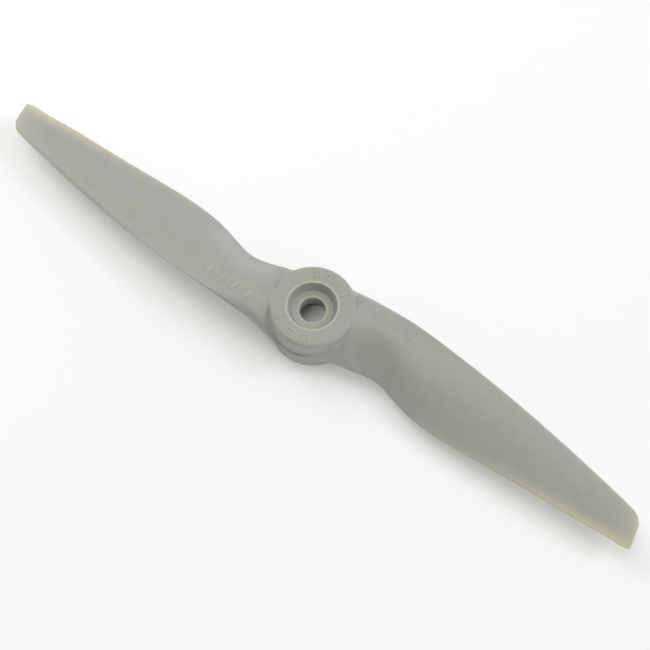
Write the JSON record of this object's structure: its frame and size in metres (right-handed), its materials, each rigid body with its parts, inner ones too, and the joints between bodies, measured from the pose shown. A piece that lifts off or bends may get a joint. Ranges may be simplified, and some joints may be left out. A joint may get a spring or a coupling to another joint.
{
  "type": "model aircraft propeller",
  "caption": "Two-blade fixed-pitch tractor propeller moulded with a solid cylindrical hub, a counterbored shaft hole and twisted, tapered blades with clipped tips.",
  "frame": {"origin": "centre of the rear hub face, on the shaft axis", "axes": "+Z along the shaft towards the front (spinner side), +X along blade A towards its tip, +Y towards blade A's leading edge"},
  "size_m": [0.1396, 0.0168, 0.0095],
  "materials": {
    "hub_nylon": "satin moulded, glass-filled nylon",
    "blade_nylon": "satin moulded, slightly translucent where thin"
  },
  "bodies": {
    "root": {"hub_front_boss": "hub_nylon", "hub_bore_web": "hub_nylon", "hub_rear_boss": "hub_nylon", "blade_a": "blade_nylon", "blade_b": "blade_nylon"}
  },
  "joints": []
}
